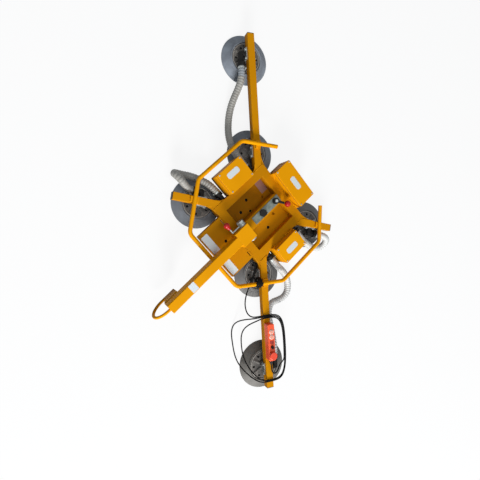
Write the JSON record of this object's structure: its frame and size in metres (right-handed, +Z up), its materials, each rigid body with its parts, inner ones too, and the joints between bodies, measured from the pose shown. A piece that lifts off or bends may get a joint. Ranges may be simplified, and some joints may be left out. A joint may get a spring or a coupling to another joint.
{
  "type": "vacuum glass panel lifter",
  "caption": "Vacuum lifter for glass panels: cross-armed base with suction cups, equipment boxes, handle ring, and a swivelling, tilting lifting arm with a crane loop.",
  "frame": {"origin": "middle of the footprint without the cords, in the plane of the cup lips", "axes": "+X along the lifting arm to the crane loop, +Y to its left, +Z up, away from the glass"},
  "size_m": [1.4828, 1.6554, 0.216],
  "materials": {
    "yellow_paint": "satin powder coat",
    "black_plastic": "moulded",
    "galvanised_steel": "zinc plated",
    "blackened_steel": "blackened",
    "bronze_washer": "plain bearing bronze",
    "red_plastic": "glossy",
    "battery_case": "moulded",
    "cast_aluminium": "as cast",
    "circuit_board": "coated board",
    "dark_casting": "dark paint on a casting",
    "black_fitting": "moulded",
    "orange_plastic": "moulded",
    "pale_plastic": "moulded",
    "black_cable": "rubber sheath",
    "hose_plastic": "ribbed, slightly translucent",
    "cup_rubber": "matt vulcanised rubber"
  },
  "bodies": {
    "base": {"arm_end_plugs": "black_plastic", "base_floor": "yellow_paint", "base_frame": "yellow_paint", "battery": "battery_case", "box_ears": "yellow_paint", "cable_glands": "black_plastic", "cable_hank": "black_cable", "cable_lead": "black_cable", "control_board": "circuit_board", "cup_carriers": "dark_casting", "front_panel": "yellow_paint", "handle_ring": "yellow_paint", "hose_fittings": "black_fitting", "hose_front_long": "hose_plastic", "hose_front_short": "hose_plastic", "hose_rear_long": "hose_plastic", "hose_rear_short": "hose_plastic", "left_box": "yellow_paint", "left_box_lid": "yellow_paint", "lid_screws": "galvanised_steel", "long_arm_front": "yellow_paint", "long_arm_rear": "yellow_paint", "pendant": "orange_plastic", "pivot_bolt": "blackened_steel", "rear_box": "yellow_paint", "rear_box_lid": "yellow_paint", "right_box": "yellow_paint", "right_box_lid": "yellow_paint", "short_arm_front": "yellow_paint", "short_arm_rear": "yellow_paint", "thrust_washer": "bronze_washer", "vacuum_pump": "cast_aluminium"},
    "swivel_head": {"swivel_head": "yellow_paint", "lock_plate": "galvanised_steel", "hinge_pin": "galvanised_steel"},
    "lifting_arm": {"lifting_arm": "yellow_paint", "arm_fork": "yellow_paint", "hanger_plate": "yellow_paint", "crane_loop": "yellow_paint"},
    "tilt_lever": {"tilt_lever": "galvanised_steel", "tilt_knob": "red_plastic"},
    "swivel_lever": {"swivel_lever": "black_plastic", "swivel_knob": "red_plastic"},
    "index_pin": {"index_pin": "galvanised_steel"},
    "grip_button": {"grip_button": "pale_plastic"},
    "release_button": {"release_button": "pale_plastic"},
    "selector_knob": {"selector_knob": "black_plastic"},
    "stop_button": {"stop_button": "red_plastic"},
    "cup_1": {"cup_dish_1": "cup_rubber", "cup_plate_1": "dark_casting"},
    "cup_2": {"cup_dish_2": "cup_rubber", "cup_plate_2": "dark_casting"},
    "cup_3": {"cup_dish_3": "cup_rubber", "cup_plate_3": "dark_casting"},
    "cup_4": {"cup_dish_4": "cup_rubber", "cup_plate_4": "dark_casting"},
    "cup_5": {"cup_dish_5": "cup_rubber", "cup_plate_5": "dark_casting"},
    "cup_6": {"cup_dish_6": "cup_rubber", "cup_plate_6": "dark_casting"}
  },
  "joints": [
    {"name": "swivel", "type": "hinge", "parent": "base", "child": "swivel_head", "pos_m": [-0.05243, 0, 0.068], "axis": [0, 0, 1], "range_deg": [-40, 30]},
    {"name": "arm_tilt", "type": "hinge", "parent": "swivel_head", "child": "lifting_arm", "pos_m": [0.09957, 0, 0.182], "axis": [0, -1, 0], "range_deg": [0, 90]},
    {"name": "tilt_lock", "type": "hinge", "parent": "swivel_head", "child": "tilt_lever", "pos_m": [0.09957, 0, 0.182], "axis": [0, -1, 0], "range_deg": [0, 60]},
    {"name": "swivel_lock", "type": "hinge", "parent": "swivel_head", "child": "swivel_lever", "pos_m": [-0.15443, 0, 0.143], "axis": [0, 0, -1], "range_deg": [0, 60]},
    {"name": "index_pin_slide", "type": "slide", "parent": "swivel_head", "child": "index_pin", "axis": [0, 0, -1], "range_m": [0, 0.0101]},
    {"name": "cup_1_tilt", "type": "hinge", "parent": "base", "child": "cup_1", "pos_m": [-0.60144, -0.68774, 0.045], "axis": [0.7815, -0.6239, 0], "range_deg": [-4, 4]},
    {"name": "cup_2_tilt", "type": "hinge", "parent": "base", "child": "cup_2", "pos_m": [-0.26767, -0.26962, 0.045], "axis": [0.7815, -0.6239, 0], "range_deg": [-4, 4]},
    {"name": "cup_3_tilt", "type": "hinge", "parent": "base", "child": "cup_3", "pos_m": [0.16281, -0.26962, 0.045], "axis": [0.7815, 0.6239, 0], "range_deg": [-4, 4]},
    {"name": "cup_4_tilt", "type": "hinge", "parent": "base", "child": "cup_4", "pos_m": [0.16281, 0.26962, 0.045], "axis": [-0.7815, 0.6239, 0], "range_deg": [-4, 4]},
    {"name": "cup_5_tilt", "type": "hinge", "parent": "base", "child": "cup_5", "pos_m": [0.49659, 0.68774, 0.045], "axis": [-0.7815, 0.6239, 0], "range_deg": [-4, 4]},
    {"name": "cup_6_tilt", "type": "hinge", "parent": "base", "child": "cup_6", "pos_m": [-0.26767, 0.26962, 0.045], "axis": [-0.7815, -0.6239, 0], "range_deg": [-4, 4]},
    {"name": "grip_button_press", "type": "slide", "parent": "base", "child": "grip_button", "axis": [0, 0, -1], "range_m": [0, 0.003], "stiffness_N_per_m": 600, "springref_m": -0.002},
    {"name": "release_button_press", "type": "slide", "parent": "base", "child": "release_button", "axis": [0, 0, -1], "range_m": [0, 0.003], "stiffness_N_per_m": 600, "springref_m": -0.002},
    {"name": "stop_press", "type": "slide", "parent": "base", "child": "stop_button", "axis": [0, 0, -1], "range_m": [0, 0.004], "stiffness_N_per_m": 1200, "springref_m": -0.003},
    {"name": "selector_turn", "type": "hinge", "parent": "base", "child": "selector_knob", "pos_m": [0.40862, 0.57754, 0.156], "axis": [0, 0, 1], "range_deg": [-45, 45]}
  ],
  "couplings": [
    {"joint": "index_pin_slide", "follows": "swivel_lock", "m_per_rad": 0.0095493}
  ]
}
